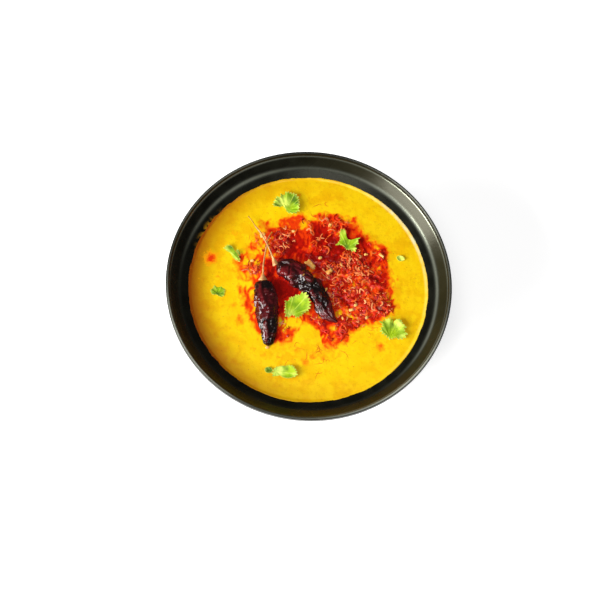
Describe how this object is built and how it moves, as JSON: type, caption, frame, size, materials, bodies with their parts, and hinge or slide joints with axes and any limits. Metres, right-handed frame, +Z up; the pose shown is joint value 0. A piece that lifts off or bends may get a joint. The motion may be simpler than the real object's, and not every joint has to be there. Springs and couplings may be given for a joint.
{
  "type": "bowl of dal",
  "caption": "Round black glazed bowl with a flared rim, filled with yellow dal and topped with chilli oil, dried chillies and coriander leaves.",
  "frame": {"origin": "middle of the bowl's foot, at the level of the table", "axes": "+Z up along the bowl's centre line; -Y towards the diner, so that the chillies' stems point to the back left"},
  "size_m": [0.18, 0.18, 0.06],
  "materials": {
    "black_glaze": "satin black stoneware glaze, slightly uneven, with a brighter line on the lip and at the crease",
    "yellow_dal": "thick smooth lentil soup, wet sheen, fine grains and faint specks",
    "chilli_oil": "red oil with fried onion, garlic and chilli bits, wet and uneven",
    "dried_chilli": "dark maroon wrinkled skin, fried and oily, tan calyx and stem",
    "coriander": "fresh bright green leaf with paler veins"
  },
  "bodies": {
    "root": {"bowl": "black_glaze", "dal": "yellow_dal", "tadka": "chilli_oil", "chilli_left": "dried_chilli", "chilli_right": "dried_chilli", "leaf_back": "coriander", "leaf_upper_right": "coriander", "leaf_centre": "coriander", "leaf_right": "coriander", "leaf_front": "coriander", "leaf_left": "coriander", "leaf_lower_left": "coriander"}
  },
  "joints": []
}
